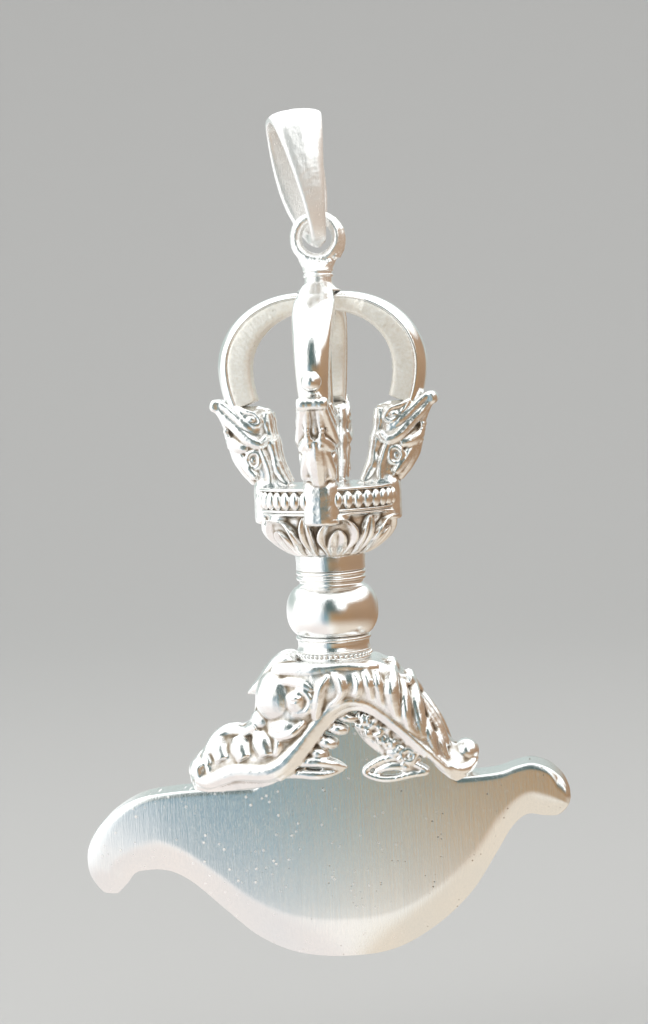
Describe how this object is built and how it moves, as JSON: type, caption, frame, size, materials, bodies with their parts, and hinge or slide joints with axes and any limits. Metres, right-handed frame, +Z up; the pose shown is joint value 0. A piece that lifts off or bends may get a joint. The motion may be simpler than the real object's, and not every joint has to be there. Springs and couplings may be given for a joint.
{
  "type": "kartika pendant",
  "caption": "Silver kartika pendant: half-vajra handle, makara head and crescent blade, swinging from a tapered strap bail.",
  "frame": {"origin": "the place in the bail's top bend where a chain carries the pendant", "axes": "+Z up along the hanging pendant, -Y towards the viewer of the pictured face, +X towards the blade's hook"},
  "size_m": [0.035, 0.0162, 0.0603],
  "materials": {
    "polished_silver": "hand-polished silver",
    "cast_silver": "cast silver, tarnished in the recesses",
    "satin_silver": "brushed silver with fine pits"
  },
  "bodies": {
    "bail": {"bail": "polished_silver"},
    "pendant": {"eye_ring": "polished_silver", "crown_collar": "polished_silver", "prong_front": "polished_silver", "prong_right": "polished_silver", "prong_back": "polished_silver", "prong_left": "polished_silver", "core_rod": "polished_silver", "beaded_disc": "polished_silver", "upper_collar": "polished_silver", "knop": "polished_silver", "lower_collar": "polished_silver", "prong_head_front": "cast_silver", "prong_head_right": "cast_silver", "prong_head_back": "cast_silver", "prong_head_left": "cast_silver", "lotus_cup": "cast_silver", "makara_head": "cast_silver", "blade": "satin_silver"}
  },
  "joints": [
    {"name": "bail_swing", "type": "hinge", "parent": "bail", "child": "pendant", "pos_m": [0.00128, 0, -0.00837], "axis": [0.0698, 0.9976, 0], "range_deg": [-115, 100]}
  ]
}
